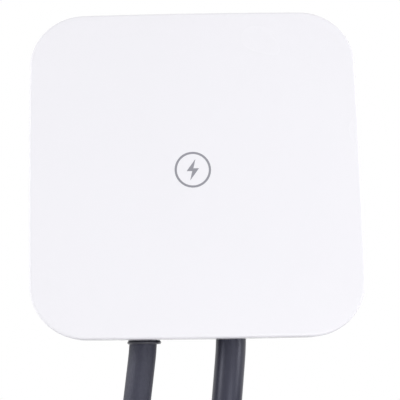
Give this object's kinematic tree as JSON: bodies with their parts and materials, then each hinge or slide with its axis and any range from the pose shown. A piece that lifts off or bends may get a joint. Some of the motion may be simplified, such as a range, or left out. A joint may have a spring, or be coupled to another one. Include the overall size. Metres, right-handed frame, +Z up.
{
  "type": "ev wallbox",
  "caption": "Compact rounded-square electric car charger for a wall, with a pull-off front cover, a supply cable and a tethered charging cable with its connector.",
  "frame": {"origin": "centre of the wall bracket's back face, on the wall", "axes": "+Y into the wall, -Y towards the viewer, +X to the viewer's right, +Z up"},
  "size_m": [0.426, 0.082, 0.6105],
  "materials": {
    "cover_white": "glossy white moulded cover",
    "housing_grey": "fine textured dark grey",
    "inner_grey": "satin light grey",
    "opal": "opal diffuser",
    "zinc_steel": "zinc plated",
    "seal_rubber": "soft black",
    "bush_rubber": "glossy black",
    "supply_rubber": "matte rubber sheath",
    "charge_jacket": "smooth satin jacket",
    "strap_webbing": "woven tie strap",
    "board_green": "solder resist",
    "relay_blue": "moulded",
    "module_black": "potted block",
    "capacitor_sleeve": "shrink sleeve",
    "terminal_green": "moulded",
    "core_insulation": "insulated copper cores",
    "spacer_brass": "turned",
    "shield_tin": "tinned can",
    "switch_plastic": "moulded",
    "knob_orange": "moulded",
    "connector_plastic": "fine textured black",
    "boot_rubber": "ringed rubber"
  },
  "bodies": {
    "root": {"board_header": "module_black", "board_screws": "zinc_steel", "board_spacers": "spacer_brass", "capacitors": "capacitor_sleeve", "charge_bush": "bush_rubber", "charge_cable": "charge_jacket", "charge_clamp": "inner_grey", "charge_coil": "charge_jacket", "charge_cores": "core_insulation", "charge_straps": "strap_webbing", "charge_tail": "charge_jacket", "clamp_screws": "zinc_steel", "connector_back": "connector_plastic", "connector_boot": "boot_rubber", "connector_contacts": "zinc_steel", "connector_front": "connector_plastic", "connector_nose": "connector_plastic", "connector_screws": "zinc_steel", "control_board": "board_green", "cover_grommets": "seal_rubber", "current_sensor": "module_black", "fuse_holder": "module_black", "housing_seal": "seal_rubber", "inner_cover": "inner_grey", "inner_cover_screws": "zinc_steel", "light_ring": "opal", "main_board": "board_green", "output_terminals": "terminal_green", "power_module": "module_black", "processor": "module_black", "radio_module": "shield_tin", "rear_housing": "housing_grey", "relays": "relay_blue", "securing_screw": "zinc_steel", "selector_base": "switch_plastic", "spacer_screws": "zinc_steel", "supply_bush": "bush_rubber", "supply_cable": "supply_rubber", "supply_clamp": "inner_grey", "supply_coil": "supply_rubber", "supply_cores": "core_insulation", "supply_end": "supply_rubber", "supply_end_cores": "core_insulation", "supply_straps": "strap_webbing", "supply_terminals": "terminal_green", "terminal_screws": "zinc_steel", "wall_bracket": "zinc_steel"},
    "cover": {"front_cover": "cover_white"},
    "selector": {"selector_knob": "knob_orange"}
  },
  "joints": [
    {"name": "cover_pull", "type": "slide", "parent": "root", "child": "cover", "axis": [0, -1, 0], "range_m": [0, 0.05]},
    {"name": "selector_turn", "type": "hinge", "parent": "root", "child": "selector", "pos_m": [0.026, -0.06, 0.006], "axis": [0, -1, 0], "range_deg": [-135, 135]}
  ]
}
